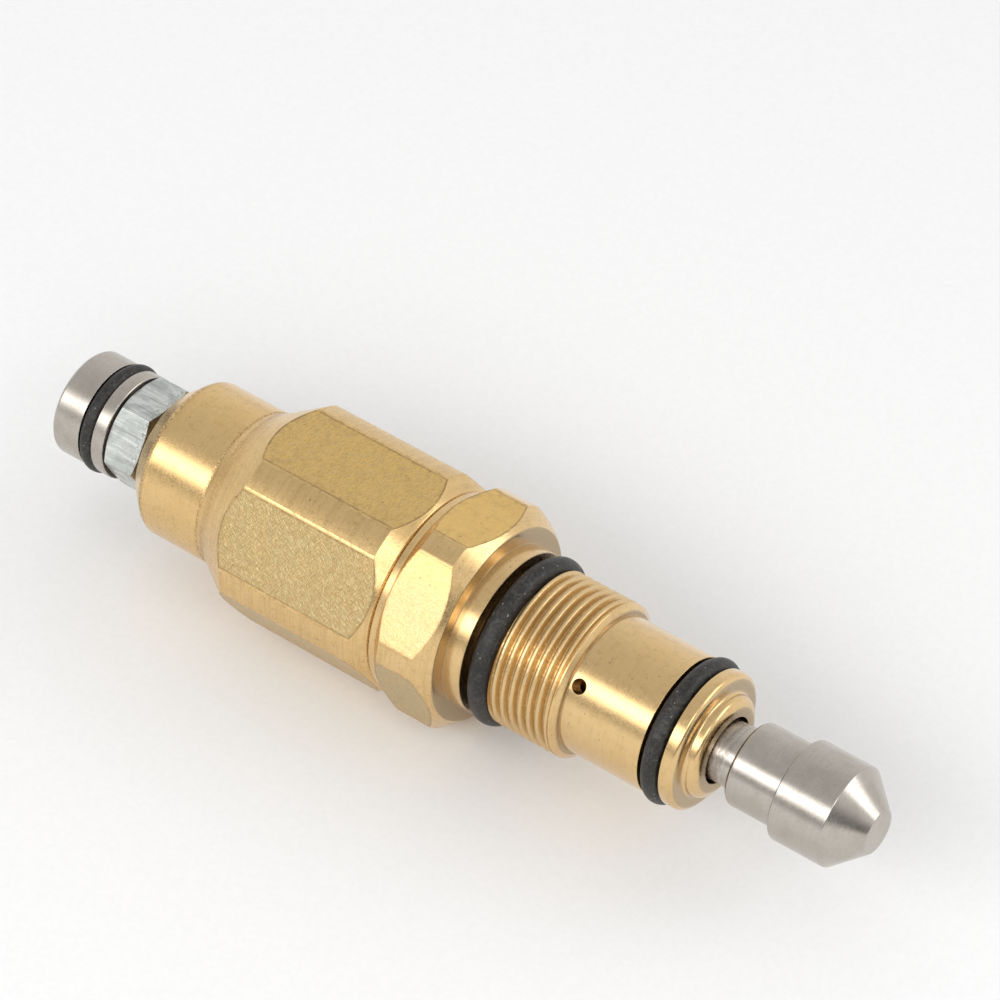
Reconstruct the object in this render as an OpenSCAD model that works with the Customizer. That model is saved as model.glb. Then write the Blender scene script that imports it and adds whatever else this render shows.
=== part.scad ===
// Cartridge pressure relief valve: a sprung rod carries a conical poppet at the front
// and a sealed piston at the rear. Millimetres, valve axis along X, poppet towards +X.
// The origin is on the axis, at the start of the port thread.

/* [Port thread and nose] */
// Crest diameter of the port thread
port_thread_d = 16; // [14:0.5:20]
// Pitch of the port thread
port_pitch = 1; // [0.75:0.25:1.5]
// Number of full turns on the port thread
port_turns = 7; // [5:1:10]
// Length of the plain collar in front of the thread
thread_collar_len = 0.7; // [0.4:0.1:2]
// How far the nose lies below the thread's crests
nose_step = 1; // [0.8:0.1:1.5]
// Length of the nose behind its seal groove
nose_len = 8.8; // [8:0.1:12]
// Width of the nose seal groove
nose_groove_w = 2.3; // [2:0.1:3]
// Section diameter of the nose seal
nose_seal_d = 1.86; // [1.5:0.02:2]
// How far the nose seal stands proud of the nose
nose_seal_proud = 0.44; // [0.2:0.02:0.6]
// Length of the land in front of the nose groove
nose_land_len = 1.46; // [1:0.1:3]
// Diameter of the boss on the nose's end
boss_d = 10.4; // [9:0.1:12.5]
// Length of the boss
boss_len = 1.35; // [0.5:0.05:3]
// Diameter of the bleed hole
bleed_d = 1.5; // [1:0.1:2.4]

/* [Body hexagon and shoulder] */
// Width across flats of both hexagons
hex_af = 21; // [19:0.5:25]
// How far the body hexagon's corners are turned down from sharp
body_corner_trim = 0.57; // [0.4:0.01:1.2]
// Length of the body between the housing and the shoulder face
body_hex_len = 7.38; // [6:0.02:12]
// Length of the chamfer at the hexagon's front end
body_front_chamfer = 1.6; // [0.8:0.1:2.5]
// Length of the chamfer at the hexagon's rear end
body_rear_chamfer = 1.15; // [0.8:0.05:2.5]
// Length of the turned ring next to the housing
joint_ring_len = 0.85; // [0.5:0.05:1.5]
// Roll of the body hexagon about the axis, in degrees
body_roll = 48.5; // [0:0.5:60]
// How far the shoulder face's rim lies below the flats
shoulder_inset = 0.45; // [0.1:0.05:1]
// How far the collar in front of the shoulder face stands above the thread's crests
collar_step = 0.4; // [0.2:0.05:0.6]
// Length of that collar
collar_len = 1.92; // [1:0.02:3]
// Width of the shoulder seal groove
shoulder_groove_w = 2.73; // [2.3:0.05:4]
// Section diameter of the shoulder seal
shoulder_seal_d = 2.1; // [1.5:0.05:2.2]
// How far the shoulder seal stands proud of the collar
shoulder_seal_proud = 0.3; // [0.1:0.05:0.5]

/* [Spring housing] */
// Wall of the housing's rear cylinder around the spring
housing_wall = 2.2; // [1.8:0.1:4]
// How far the housing hexagon's corners are turned down from sharp
housing_corner_trim = 0.77; // [0.4:0.01:1.2]
// Length of the housing
housing_len = 31.47; // [29:0.01:45]
// Length of the hexagon from the joint to where its corners end
housing_hex_len = 16.97; // [14:0.01:20]
// Length of the flare between hexagon and cylinder
flare_len = 5.4; // [4:0.1:6.5]
// Length of the chamfer at the housing's front end
housing_front_chamfer = 1.62; // [0.8:0.02:2.5]
// How far both rims at the joint lie below the flats
joint_inset = 0.3; // [0.1:0.05:0.8]
// Length of the chamfer at the rear rim
rear_chamfer_len = 2.05; // [1:0.05:3]
// Diameter of the rear rim
rear_rim_d = 12.6; // [11:0.1:14]
// Thickness of the rear wall
rear_wall = 3.5; // [2.5:0.1:6]
// Wall of the body's spigot, from the spring chamber to the joint thread's crests
joint_wall = 1.53; // [1.4:0.01:3]
// Length of the body's threaded spigot
spigot_len = 10.2; // [8:0.1:12]

/* [Rod and poppet] */
// Diameter of the rod
rod_d = 6.2; // [5.1:0.1:7.5]
// Distance from the boss to the poppet's rear face at rest
poppet_gap = 2.5; // [2.4:0.1:4]
// Diameter of the poppet's guide
poppet_guide_d = 8.45; // [7.5:0.05:10]
// Length of the poppet's guide
poppet_guide_len = 5.4; // [3:0.1:8]
// Diameter of the poppet's head
poppet_head_d = 10.18; // [8.5:0.02:12.2]
// Length of the cylindrical part of the poppet's head
poppet_head_len = 5.5; // [3:0.1:8]
// Length of the poppet's cone
poppet_cone_len = 3.15; // [2:0.05:5]
// Diameter of the poppet's tip
poppet_tip_d = 4.4; // [3:0.1:6]

/* [Nut and piston] */
// How far the rear thread's crests lie below the rod
nut_thread_step = 0.1; // [0.05:0.05:0.3]
// Pitch of the rod's rear thread
nut_pitch = 1; // [0.75:0.25:1.25]
// Width across flats of the adjusting nut
nut_af = 10; // [9:0.5:12]
// Height of the adjusting nut
nut_h = 4.1; // [3:0.1:6]
// Thickness of the stop washer
washer_h = 0.7; // [0.5:0.1:1.5]
// Diameter of the piston
piston_d = 10.96; // [9.1:0.02:13.2]
// Length of the piston
piston_len = 6.4; // [5:0.1:9]
// Length of the land in front of the piston's groove
piston_front_land = 1.4; // [1:0.1:3]
// Width of the piston's groove
piston_groove_w = 1.6; // [1.5:0.1:2.2]
// Section diameter of the piston seal
piston_seal_d = 1.46; // [1.1:0.02:1.5]
// How far the piston seal stands proud of the piston
piston_seal_proud = 0.28; // [0.1:0.02:0.4]

/* [Spring] */
// Wire diameter of the spring
spring_wire = 1.7; // [1.2:0.05:2.05]
// Number of coils between the closed ends
spring_coils = 6; // [4:0.5:7]
// Thickness of the washer behind the spring
spring_washer_h = 1; // [0.6:0.1:2]
// Thickness of the preload shim
shim_h = 0.5; // [0.2:0.1:1]
// Thickness of the spring seat's flange
seat_flange_h = 2; // [1:0.1:3]
// Length of the spring seat's hub
seat_hub_len = 4; // [2:0.1:6]

/* [Rod seals] */
// Section diameter of the rod seals
rod_seal_d = 2.05; // [1.5:0.05:2.1]
// Thickness of the backup rings
backup_h = 1.2; // [0.8:0.1:2]
// Length of the lantern ring between the seals
lantern_len = 5.2; // [4:0.1:7]
// Length of the gland bush
gland_len = 9.7; // [6:0.1:10]
// Thickness of the snap rings
clip_h = 0.8; // [0.6:0.1:1.2]

/* [Clearances] */
// Radial gap of the rod in its guides and seals
running_gap = 0.04; // [0.02:0.01:0.08]
// Gap between pieces that are pressed or screwed together
seat_gap = 0.02; // [0.01:0.01:0.04]
// Radial gap in the threads
thread_gap = 0.04; // [0.02:0.01:0.08]
// Radial gap around the spring
spring_gap = 0.4; // [0.3:0.05:0.8]
// Gap between the stop washer and the housing
stop_gap = 0.1; // [0.05:0.05:0.3]
// Radial gap around the rod in the boss
boss_gap = 0.3; // [0.1:0.05:0.4]

/* [Hidden] */

round_fn = 96;
nudge = 1;
edge = 0.2;
thread_depth_share = 0.61;

// Stations on the axis, from the origin forwards
thread_end = port_turns * port_pitch;
nose_start = thread_end + thread_collar_len;
nose_groove_start = nose_start + nose_len;
nose_groove_end = nose_groove_start + nose_groove_w;
nose_end = nose_groove_end + nose_land_len;
boss_end = nose_end + boss_len;
poppet_rear = boss_end + poppet_gap;
poppet_step = poppet_rear + poppet_guide_len;
poppet_cone = poppet_step + poppet_head_len;
poppet_tip = poppet_cone + poppet_cone_len;

// Stations on the axis, from the origin backwards
collar_front = -shoulder_groove_w;
shoulder_face = collar_front - collar_len;
joint_face = shoulder_face - body_hex_len;
spigot_end = joint_face - spigot_len;
hex_corner_end = joint_face - housing_hex_len;
flare_start = hex_corner_end - flare_len;
housing_end = joint_face - housing_len;
chamber_end = housing_end + rear_wall;
washer_rear = housing_end - stop_gap - washer_h;
nut_rear = washer_rear - nut_h;
piston_rear = nut_rear - piston_len;
piston_groove_front = nut_rear - piston_front_land;
piston_groove_rear = piston_groove_front - piston_groove_w;

// Stack of seals in the body, from its front end backwards
seal_front_wall = 1.9;
seal_slot = rod_seal_d + 0.1;
cavity_end = nose_groove_start - seal_front_wall;
front_seal_front = cavity_end - backup_h;
lantern_front = front_seal_front - seal_slot;
lantern_rear = lantern_front - lantern_len;
rear_seal_rear = lantern_rear - seal_slot;
gland_front = rear_seal_rear - backup_h;
gland_rear = gland_front - gland_len;
cavity_lip = 1.4;
cavity_mouth = gland_rear - clip_h - cavity_lip;
bleed_x = (lantern_front + lantern_rear) / 2;

// Spring stack on the rod, from the spring chamber's front end backwards
seat_clip_space = 1;
seat_clip_front = cavity_mouth - seat_clip_space;
seat_front = seat_clip_front - clip_h;
seat_rear = seat_front - seat_flange_h;
shim_rear = seat_rear - shim_h;
spring_washer_front = chamber_end + spring_washer_h;
spring_len = shim_rear - spring_washer_front - 2 * seat_gap;

// Radii
port_r = port_thread_d / 2;
nose_r = port_r - nose_step;
collar_r = port_r + collar_step;
shoulder_seal_r = collar_r + shoulder_seal_proud;
flat_r = hex_af / 2;
sharp_r = flat_r / cos(30);
rod_r = rod_d / 2;
guide_r = rod_r + running_gap;
hub_wall = 0.55;
hub_gap = 0.2;
hub_r = rod_r + seat_gap + hub_wall;
spring_inner_r = hub_r + hub_gap;
spring_mean_r = spring_inner_r + spring_wire / 2;
spring_outer_r = spring_inner_r + spring_wire;
chamber_r = spring_outer_r + spring_gap;
cavity_r = guide_r + rod_seal_d + seat_gap;
port_root_r = port_r - thread_depth_share * port_pitch;
joint_r = chamber_r + joint_wall;
joint_root_r = joint_r - thread_depth_share * port_pitch;
joint_bore_r = joint_r + thread_gap;
nut_thread_r = rod_r - nut_thread_step;
nut_bore_r = nut_thread_r + thread_gap;
nut_root_r = nut_thread_r - thread_depth_share * nut_pitch;
clip_bite = 0.5;
clip_groove_r = rod_r - clip_bite;
boss_bore_r = rod_r + boss_gap;
stub_step = 0.6;
stub_r = rod_r - stub_step;
stub_len = 7;
bush_wall = 1.15;
bush_r = guide_r + bush_wall;
nut_roll = -3;
joint_land = 3;
joint_groove_w = 1.6;
joint_seal_d = 1.1;

// Turns an outline of [place along X, radius] points about the X axis
module turned(outline) {
    rotate([0, 90, 0])
        rotate_extrude($fn = round_fn)
            polygon([for (p = outline) [p[1], p[0]]]);
}

// A ring with a rectangular section and small chamfers on its outer edges
module ring(rear, front, inner_r, outer_r, bevel = 0.1) {
    turned([
        [rear, inner_r],
        [front, inner_r],
        [front, outer_r - bevel],
        [front - bevel, outer_r],
        [rear + bevel, outer_r],
        [rear, outer_r - bevel]
    ]);
}

// A ring with a round section
module o_ring(middle, section_d, middle_r) {
    rotate([0, 90, 0])
        translate([0, 0, middle])
            rotate_extrude($fn = round_fn)
                translate([middle_r, 0])
                    circle(d = section_d, $fn = 32);
}

// A hexagonal bar along X with one flat rolled from +Z towards -Y
module hex_bar(rear, front, af, roll) {
    translate([rear, 0, 0])
        rotate([roll + 30, 0, 0])
            rotate([0, 90, 0])
                cylinder(h = front - rear, d = af / cos(30), $fn = 6);
}

// Outline of a thread as parallel ridges, from its start forwards
function ridges(start, turns, pitch, crest_r, root_r) = [
    for (i = [0 : turns - 1]) each [
        [start + i * pitch, root_r],
        [start + (i + 0.375) * pitch, crest_r],
        [start + (i + 0.625) * pitch, crest_r]
    ]
];

module spring_housing() {
    cyl_r = chamber_r + housing_wall;
    corner_r = sharp_r - housing_corner_trim;
    fillet_len = 0.6;
    fillet_rise = 0.12;
    slope = (corner_r - cyl_r) / flare_len;
    color("goldenrod")
        difference() {
            intersection() {
                turned([
                    [housing_end, 0],
                    [housing_end, rear_rim_d / 2],
                    [housing_end + rear_chamfer_len, cyl_r],
                    [flare_start - fillet_len, cyl_r],
                    [flare_start, cyl_r + fillet_rise],
                    [flare_start + fillet_len, cyl_r + slope * fillet_len + fillet_rise / 2],
                    [hex_corner_end, corner_r],
                    [joint_face - housing_front_chamfer, corner_r],
                    [joint_face - edge / 2, flat_r - joint_inset + edge / 2],
                    [joint_face, flat_r - joint_inset - edge / 2],
                    [joint_face, 0]
                ]);
                hex_bar(housing_end - nudge, joint_face + nudge, hex_af, 0);
            }
            turned([
                [chamber_end, 0],
                [chamber_end, chamber_r],
                [spigot_end - edge, chamber_r],
                [spigot_end - edge, joint_bore_r],
                [joint_face + nudge, joint_bore_r],
                [joint_face + nudge, 0]
            ]);
            turned([
                [housing_end - nudge, 0],
                [housing_end - nudge, bush_r + seat_gap],
                [chamber_end + nudge, bush_r + seat_gap],
                [chamber_end + nudge, 0]
            ]);
        }
}

module valve_body() {
    corner_r = sharp_r - body_corner_trim;
    neck_r = shoulder_seal_r - shoulder_seal_d - seat_gap;
    ring_end = joint_face + joint_ring_len;
    nose_groove_r = nose_r + nose_seal_proud - nose_seal_d - seat_gap;
    joint_groove_r = joint_bore_r - joint_seal_d - 2 * seat_gap;
    joint_turns = floor((spigot_len - joint_land) / port_pitch);
    thread_start = joint_face - joint_land - joint_turns * port_pitch;
    groove_start = joint_face - (joint_land + joint_groove_w) / 2;
    color("gold")
        difference() {
            intersection() {
                turned(concat(
                    [[spigot_end, 0], [spigot_end, joint_root_r]],
                    ridges(thread_start, joint_turns, port_pitch, joint_r, joint_root_r),
                    [[joint_face - joint_land, joint_root_r]],
                    [[joint_face - joint_land + edge, joint_r]],
                    [[groove_start, joint_r], [groove_start, joint_groove_r]],
                    [[groove_start + joint_groove_w, joint_groove_r]],
                    [[groove_start + joint_groove_w, joint_r], [joint_face + seat_gap, joint_r]],
                    [[joint_face + seat_gap, flat_r - joint_inset - edge / 2]],
                    [[joint_face + edge / 2, flat_r - joint_inset + edge / 2]],
                    [[ring_end, flat_r - edge / 2]],
                    [[ring_end + body_rear_chamfer, corner_r]],
                    [[shoulder_face - body_front_chamfer, corner_r]],
                    [[shoulder_face, flat_r - shoulder_inset], [shoulder_face, collar_r]],
                    [[collar_front, collar_r], [collar_front, neck_r], [0, neck_r]],
                    ridges(0, port_turns, port_pitch, port_r, port_root_r),
                    [[thread_end, port_root_r], [thread_end + edge, port_r]],
                    [[nose_start - edge, port_r], [nose_start, port_r - edge]],
                    [[nose_start, nose_r], [nose_groove_start, nose_r]],
                    [[nose_groove_start, nose_groove_r], [nose_groove_end, nose_groove_r]],
                    [[nose_groove_end, nose_r], [nose_end - 2 * edge, nose_r]],
                    [[nose_end, nose_r - 2 * edge], [nose_end, boss_d / 2]],
                    [[boss_end - edge, boss_d / 2], [boss_end, boss_d / 2 - edge]],
                    [[boss_end, 0]]
                ));
                hex_bar(spigot_end - nudge, boss_end + nudge, hex_af, body_roll);
            }
            turned([
                [spigot_end - nudge, 0],
                [spigot_end - nudge, chamber_r],
                [cavity_mouth, chamber_r],
                [cavity_mouth, cavity_r],
                [gland_rear - clip_h, cavity_r],
                [gland_rear - clip_h, cavity_r + clip_bite],
                [gland_rear, cavity_r + clip_bite],
                [gland_rear, cavity_r],
                [cavity_end, cavity_r],
                [cavity_end, boss_bore_r],
                [boss_end - edge, boss_bore_r],
                [boss_end + nudge, boss_bore_r + nudge + edge],
                [boss_end + nudge, 0]
            ]);
            rotate([body_roll, 0, 0])
                translate([bleed_x, 0, rod_r])
                    cylinder(h = port_thread_d, d = bleed_d, $fn = 48);
        }
}

module housing_o_ring() {
    middle_r = joint_bore_r - seat_gap - joint_seal_d / 2;
    color("black") o_ring(joint_face - joint_land / 2, joint_seal_d, middle_r);
}

module shoulder_o_ring() {
    middle_r = shoulder_seal_r - shoulder_seal_d / 2;
    middle = -shoulder_seal_d / 2 - seat_gap;
    color("black") o_ring(middle, shoulder_seal_d, middle_r);
}

module nose_o_ring() {
    middle_r = nose_r + nose_seal_proud - nose_seal_d / 2;
    middle = (nose_groove_start + nose_groove_end) / 2;
    color("black") o_ring(middle, nose_seal_d, middle_r);
}

module rod_seal(front) {
    middle_r = guide_r + rod_seal_d / 2;
    color("black") o_ring(front - seal_slot / 2, rod_seal_d, middle_r);
}

module backup_ring(front) {
    color("white")
        ring(front - backup_h + seat_gap, front - seat_gap, guide_r, cavity_r - seat_gap, 0.05);
}

module lantern_ring() {
    outer_r = cavity_r - seat_gap;
    waist_r = rod_r + 1;
    land = 1.2;
    color("goldenrod")
        difference() {
            turned([
                [lantern_rear + seat_gap, guide_r],
                [lantern_front - seat_gap, guide_r],
                [lantern_front - seat_gap, outer_r],
                [lantern_front - land, outer_r],
                [lantern_front - land, waist_r],
                [lantern_rear + land, waist_r],
                [lantern_rear + land, outer_r],
                [lantern_rear + seat_gap, outer_r]
            ]);
            for (turn = [0, 90])
                rotate([body_roll + turn, 0, 0])
                    translate([bleed_x, 0, -nose_r])
                        cylinder(h = 2 * nose_r, d = bleed_d, $fn = 48);
        }
}

module gland_bush() {
    color("peru")
        ring(gland_rear + seat_gap, gland_front - seat_gap, guide_r, cavity_r - seat_gap, 0.2);
}

// A flat snap ring with a gap, cut at the top
module snap_ring(rear, front, inner_r, outer_r, gap_w) {
    difference() {
        ring(rear + seat_gap, front - seat_gap, inner_r, outer_r, 0.05);
        translate([rear - nudge, -gap_w / 2, 0])
            cube([front - rear + 2 * nudge, gap_w, outer_r + nudge]);
    }
}

module gland_clip() {
    clip_wall = 1.4;
    outer_r = cavity_r + clip_bite - seat_gap;
    color("dimgray")
        snap_ring(gland_rear - clip_h, gland_rear, outer_r - clip_wall, outer_r, 3);
}

module rear_guide_bush() {
    color("peru") ring(housing_end + edge, chamber_end - edge, guide_r, bush_r, 0.2);
}

module rear_spring_washer() {
    color("silver")
        ring(chamber_end + seat_gap, spring_washer_front, rod_r + boss_gap, chamber_r - hub_gap);
}

// Height of the spring's wire centre after a share t of the whole wire
spring_turns = spring_coils + 2;
function spring_rise(t) =
    let (turn = t * spring_turns)
    let (low = min(turn, 1) * spring_wire)
    let (high = max(turn - spring_turns + 1, 0) * spring_wire)
    let (span = spring_len - 3 * spring_wire)
    low + high + max(min(turn - 1, spring_coils), 0) / spring_coils * span;

// Points of one wire section, at share t of the wire
function wire_section(t, sides) =
    let (turn = 360 * spring_turns * t)
    let (rise = spring_washer_front + seat_gap + spring_wire / 2 + spring_rise(t))
    [
        for (i = [0 : sides - 1])
            let (a = 360 * i / sides)
            let (r = spring_mean_r + spring_wire / 2 * cos(a))
            [rise + spring_wire / 2 * sin(a), r * cos(turn), r * sin(turn)]
    ];

module main_spring() {
    sides = 10;
    steps = 24 * spring_turns;
    points = [for (k = [0 : steps]) each wire_section(k / steps, sides)];
    walls = [
        for (k = [0 : steps - 1])
            for (i = [0 : sides - 1])
                let (j = (i + 1) % sides)
                let (a = k * sides)
                [a + i, a + j, a + sides + j, a + sides + i]
    ];
    start_cap = [for (i = [0 : sides - 1]) sides - 1 - i];
    end_cap = [for (i = [0 : sides - 1]) steps * sides + i];
    color("gray") polyhedron(points, concat(walls, [start_cap, end_cap]), convexity = 8);
}

module preload_shim() {
    color("silver")
        ring(shim_rear, seat_rear - seat_gap, hub_r + hub_gap / 2, chamber_r - hub_gap, 0.05);
}

module front_spring_seat() {
    color("silver")
        turned([
            [seat_rear - seat_hub_len, rod_r + seat_gap],
            [seat_front, rod_r + seat_gap],
            [seat_front, chamber_r - hub_gap - edge],
            [seat_front - edge, chamber_r - hub_gap],
            [seat_rear, chamber_r - hub_gap],
            [seat_rear, hub_r],
            [seat_rear - seat_hub_len + edge, hub_r],
            [seat_rear - seat_hub_len, hub_r - edge]
        ]);
}

module seat_clip() {
    clip_r = clip_groove_r + seat_gap;
    color("dimgray") snap_ring(seat_front, seat_clip_front, clip_r, rod_r + 1.2, 4);
}

module rod() {
    stub_start = poppet_rear - seat_gap;
    thread_front = washer_rear + washer_h / 2;
    recess = 1;
    rod_rear = piston_rear + recess;
    turns = floor((thread_front - rod_rear - edge) / nut_pitch);
    thread_start = thread_front - turns * nut_pitch;
    slot_w = 1.2;
    slot_depth = 1.5;
    color("lightgray")
        difference() {
            turned(concat(
                [[rod_rear, 0], [rod_rear, nut_root_r]],
                ridges(thread_start, turns, nut_pitch, nut_thread_r, nut_root_r),
                [[thread_front, nut_root_r], [thread_front + edge, rod_r]],
                [[seat_front, rod_r], [seat_front, clip_groove_r]],
                [[seat_clip_front, clip_groove_r], [seat_clip_front, rod_r]],
                [[stub_start, rod_r], [stub_start, stub_r]],
                [[stub_start + stub_len - edge, stub_r], [stub_start + stub_len, stub_r - edge]],
                [[stub_start + stub_len, 0]]
            ));
            translate([rod_rear - nudge, -rod_d, -slot_w / 2])
                cube([slot_depth + nudge, 2 * rod_d, slot_w]);
        }
}

module poppet() {
    guide_rad = poppet_guide_d / 2;
    head_rad = poppet_head_d / 2;
    bore_rad = stub_r + seat_gap;
    bore_end = poppet_rear + stub_len + edge;
    step_bevel = 0.45;
    color("gainsboro")
        turned([
            [poppet_rear, bore_rad],
            [bore_end, bore_rad],
            [bore_end + bore_rad / 2, 0],
            [poppet_tip, 0],
            [poppet_tip, poppet_tip_d / 2 - edge / 2],
            [poppet_tip - edge / 2, poppet_tip_d / 2],
            [poppet_cone, head_rad],
            [poppet_step + step_bevel, head_rad],
            [poppet_step, head_rad - step_bevel],
            [poppet_step, guide_rad],
            [poppet_rear + 1.5 * edge, guide_rad],
            [poppet_rear, guide_rad - 1.5 * edge]
        ]);
}

module stop_washer() {
    color("silver")
        ring(washer_rear, washer_rear + washer_h, rod_r + boss_gap, nut_af / 2 - edge);
}

module adjusting_nut() {
    past_corner_r = nut_af / 2 / cos(30) + edge;
    face_r = nut_af / 2 - edge;
    bevel = (past_corner_r - face_r) * tan(30);
    front = washer_rear - seat_gap;
    rear = nut_rear + seat_gap;
    color("lightsteelblue")
        difference() {
            intersection() {
                hex_bar(rear, front, nut_af, nut_roll);
                turned([
                    [rear, 0],
                    [rear, face_r],
                    [rear + bevel, past_corner_r],
                    [front - bevel, past_corner_r],
                    [front, face_r],
                    [front, 0]
                ]);
            }
            turned([
                [rear - nudge, 0],
                [rear - nudge, nut_bore_r],
                [front + nudge, nut_bore_r],
                [front + nudge, 0]
            ]);
        }
}

module piston() {
    outer_r = piston_d / 2;
    groove_r = outer_r + piston_seal_proud - piston_seal_d - seat_gap;
    color("gainsboro")
        turned([
            [piston_rear, nut_bore_r],
            [nut_rear, nut_bore_r],
            [nut_rear, outer_r - edge],
            [nut_rear - edge, outer_r],
            [piston_groove_front, outer_r],
            [piston_groove_front, groove_r],
            [piston_groove_rear, groove_r],
            [piston_groove_rear, outer_r],
            [piston_rear + 1.5 * edge, outer_r],
            [piston_rear, outer_r - 1.5 * edge]
        ]);
}

module piston_o_ring() {
    middle_r = piston_d / 2 + piston_seal_proud - piston_seal_d / 2;
    middle = (piston_groove_front + piston_groove_rear) / 2;
    color("black") o_ring(middle, piston_seal_d, middle_r);
}

spring_housing();
valve_body();
housing_o_ring();
shoulder_o_ring();
nose_o_ring();
rod_seal(front_seal_front);  // front_rod_seal
rod_seal(lantern_rear);  // rear_rod_seal
backup_ring(cavity_end);  // front_backup_ring
backup_ring(rear_seal_rear);  // rear_backup_ring
lantern_ring();
gland_bush();
gland_clip();
rear_guide_bush();
rear_spring_washer();
main_spring();
preload_shim();
front_spring_seat();
seat_clip();
rod();
poppet();
stop_washer();
adjusting_nut();
piston();
piston_o_ring();
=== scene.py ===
"""Pressure relief valve: pieces, finishes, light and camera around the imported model."""
import math

import bmesh
import bpy
from mathutils import Matrix, Vector


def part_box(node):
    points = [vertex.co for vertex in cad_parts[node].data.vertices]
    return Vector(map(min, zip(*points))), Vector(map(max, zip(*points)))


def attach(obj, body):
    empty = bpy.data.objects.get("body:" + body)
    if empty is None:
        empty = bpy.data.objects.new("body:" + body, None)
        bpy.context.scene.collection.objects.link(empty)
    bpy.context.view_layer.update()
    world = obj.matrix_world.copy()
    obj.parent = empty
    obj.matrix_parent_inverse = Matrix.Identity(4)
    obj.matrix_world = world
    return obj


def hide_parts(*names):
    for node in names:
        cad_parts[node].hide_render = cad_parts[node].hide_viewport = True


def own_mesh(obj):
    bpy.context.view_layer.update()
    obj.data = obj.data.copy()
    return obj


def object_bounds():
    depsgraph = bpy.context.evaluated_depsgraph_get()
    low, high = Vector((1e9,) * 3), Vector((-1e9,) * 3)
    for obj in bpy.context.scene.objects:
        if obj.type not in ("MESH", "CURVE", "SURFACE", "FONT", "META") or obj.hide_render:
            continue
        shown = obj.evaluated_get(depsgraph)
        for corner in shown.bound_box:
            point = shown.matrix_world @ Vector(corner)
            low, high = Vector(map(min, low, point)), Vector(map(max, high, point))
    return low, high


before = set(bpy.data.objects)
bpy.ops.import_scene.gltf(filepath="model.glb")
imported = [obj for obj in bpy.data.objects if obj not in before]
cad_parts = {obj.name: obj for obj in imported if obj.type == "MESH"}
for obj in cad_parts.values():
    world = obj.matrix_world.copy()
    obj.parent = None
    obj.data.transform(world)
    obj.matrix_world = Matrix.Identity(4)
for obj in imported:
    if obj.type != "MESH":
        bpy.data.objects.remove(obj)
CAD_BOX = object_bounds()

MM = 0.001
FULL_TURN = 2 * math.pi

# material slots of a milled piece, and the other slot of a turned piece with two finishes
TURNED, MILLED, EDGE, BANDS = range(4)
SECOND = 1

# tolerances of the mesh tools in millimetres, creases in degrees, and the most that a
# rounding may take of the edge beside it
WELD = 1e-4
THREAD_WELD = 2e-4
ON_PLANE = 1e-5
RIM_REACH = 1e-3
CREASE = 30
THREAD_CREASE = 70
ROUNDED_SHARE = 0.48

# ---------------------------------------------------------------- sizes, in millimetres


def span(node):
    """Lowest and highest place of a CAD node along the valve's axis."""
    low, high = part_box(node)
    return low.x / MM, high.x / MM


def reach(node):
    """Largest radius of a round CAD node."""
    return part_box(node)[1].z / MM


HOUSING_REAR, JOINT = span("spring_housing")
SPIGOT_REAR, BOSS_FRONT = span("valve_body")
PISTON_REAR, PISTON_FRONT = span("piston")
NUT_REAR, NUT_FRONT = span("adjusting_nut")
POPPET_REAR, POPPET_TIP = span("poppet")
ROD_REAR, ROD_FRONT = span("rod")

# both large hexagons
FLAT_R = reach("spring_housing")
HOUSING_CORNER_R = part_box("spring_housing")[1].y / MM
BODY_CORNER_R = 11.55
HOUSING_ROLL = 0.0
BODY_ROLL = 48.5
JOINT_RIM_R = FLAT_R - 0.3

# spring housing
HOUSING_R = 8.17
REAR_RIM_R = 6.3
REAR_CHAMFER = 2.05
FLARE_START = -34.4
FLARE_END = -29.0
HOUSING_FRONT_CHAMFER = 1.62
CHAMBER_R = 5.97
REAR_WALL = 3.5
REAR_HOLE_R = 4.31
JOINT_BORE_R = 7.54
JOINT_GAP = 0.06

# valve body
RING_END = JOINT + 0.85
BODY_REAR_CHAMFER = 1.15
BODY_FRONT_CHAMFER = 1.6
SHOULDER = -4.65
SHOULDER_R = 10.05
COLLAR_R = 8.4
COLLAR_FRONT = -2.73
NECK_R = 6.58
THREAD_R = 8.0
THREAD_PITCH = 1.0
THREAD_DEPTH = 0.58
THREAD_END = 7.0
NOSE_START = 7.7
NOSE_R = 7.0
NOSE_GROOVE = (16.5, 18.8)
NOSE_GROOVE_R = 5.56
NOSE_END = 20.26
BOSS_R = 5.2
BOSS_BORE_R = 3.4
CAVITY_R = 5.21
CAVITY_REAR = -9.3
CAVITY_END = 14.6
BLEED_X = 8.65
BLEED_R = 0.75

# rod, poppet, nut and piston
ROD_R = 3.1
ROD_MIDDLE = -16.3
ROD_THREAD_R = 2.9
ROD_END_R = 2.5
STUB_R = 2.5
STUB_LEN = 7.0
GUIDE_R = 4.225
HEAD_R = 5.09
GUIDE_END = POPPET_REAR + 5.4
CONE_START = POPPET_TIP - 3.15
TIP_R = 2.2
NUT_FLAT_R = 5.0
NUT_ROLL = -3.0
NUT_BORE_R = 3.04
PISTON_R = 5.48
PISTON_GROOVE = (PISTON_FRONT - 3.0, PISTON_FRONT - 1.4)
PISTON_GROOVE_R = 4.28

# easing of the flats' long edges: tilt from the flat in degrees, depth taken off
EASING = ((15, 0.022), (6, 0.01))
NUT_EASING = ((22, 0.03),)

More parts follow.
